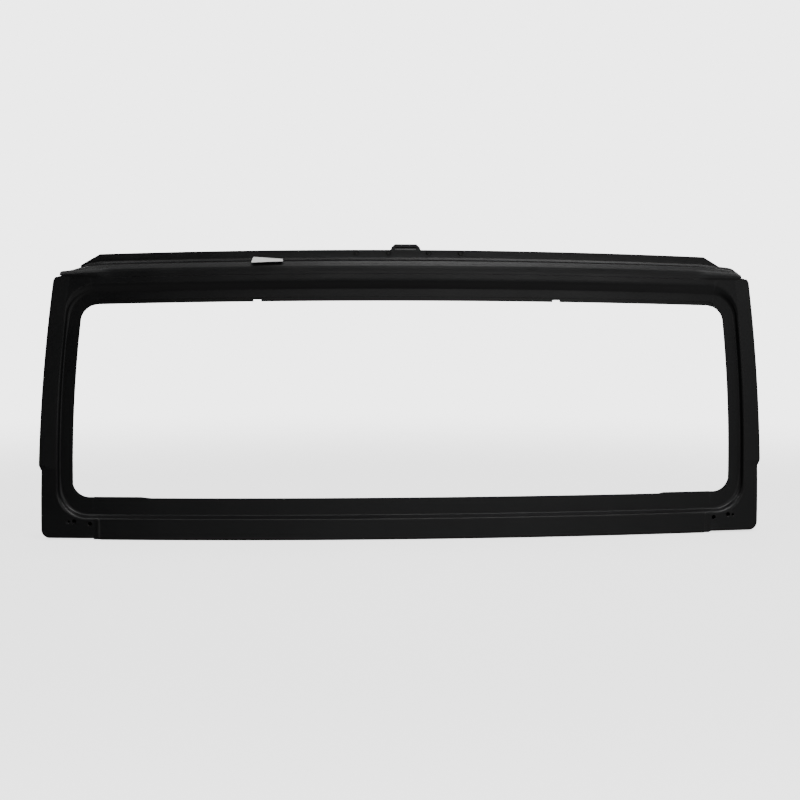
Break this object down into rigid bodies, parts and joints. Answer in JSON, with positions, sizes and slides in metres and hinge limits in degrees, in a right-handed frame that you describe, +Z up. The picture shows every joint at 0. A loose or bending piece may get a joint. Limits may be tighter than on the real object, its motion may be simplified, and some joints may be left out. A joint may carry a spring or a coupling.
{
  "type": "windshield frame",
  "caption": "Wide bare windshield frame of an open utility vehicle: pressed steel ring with a rounded glass opening, a roof rail on top and hinge bolt holes in its lower corners.",
  "frame": {"origin": "middle of the underside of the whole frame's box", "axes": "+X along the frame's width, to the right as seen from the front; +Y to the rear; +Z up"},
  "size_m": [1.5004, 0.1078, 0.601],
  "materials": {
    "black_coat": "satin black primer coat over pressed steel",
    "dark_zinc": "dark zinc-plated steel fasteners",
    "label_paper": "plain matt white sticker without print"
  },
  "bodies": {
    "root": {"header_outer_panel": "black_coat", "header_inner_panel": "black_coat", "header_reinforcement": "black_coat", "header_rail": "black_coat", "header_top_flange": "black_coat", "sill_outer_panel": "black_coat", "sill_inner_panel": "black_coat", "sill_cowl_flange": "black_coat", "part_label": "label_paper", "centre_bracket": "black_coat", "left_pillar_outer_panel": "black_coat", "left_pillar_inner_panel": "black_coat", "left_pillar_reinforcement": "black_coat", "left_pillar_rail": "black_coat", "left_hinge_plate": "black_coat", "left_corner_gusset": "black_coat", "left_visor_plate": "black_coat", "left_latch_plate": "black_coat", "left_hinge_nut_1": "dark_zinc", "left_hinge_nut_2": "dark_zinc", "bracket_bolt_left": "dark_zinc", "bracket_nut_left": "dark_zinc", "flange_bolt_left": "dark_zinc", "flange_nut_left": "dark_zinc", "right_pillar_outer_panel": "black_coat", "right_pillar_inner_panel": "black_coat", "right_pillar_reinforcement": "black_coat", "right_pillar_rail": "black_coat", "right_hinge_plate": "black_coat", "right_corner_gusset": "black_coat", "right_visor_plate": "black_coat", "right_latch_plate": "black_coat", "right_hinge_nut_1": "dark_zinc", "right_hinge_nut_2": "dark_zinc", "bracket_bolt_right": "dark_zinc", "bracket_nut_right": "dark_zinc", "flange_bolt_right": "dark_zinc", "flange_nut_right": "dark_zinc"}
  },
  "joints": []
}
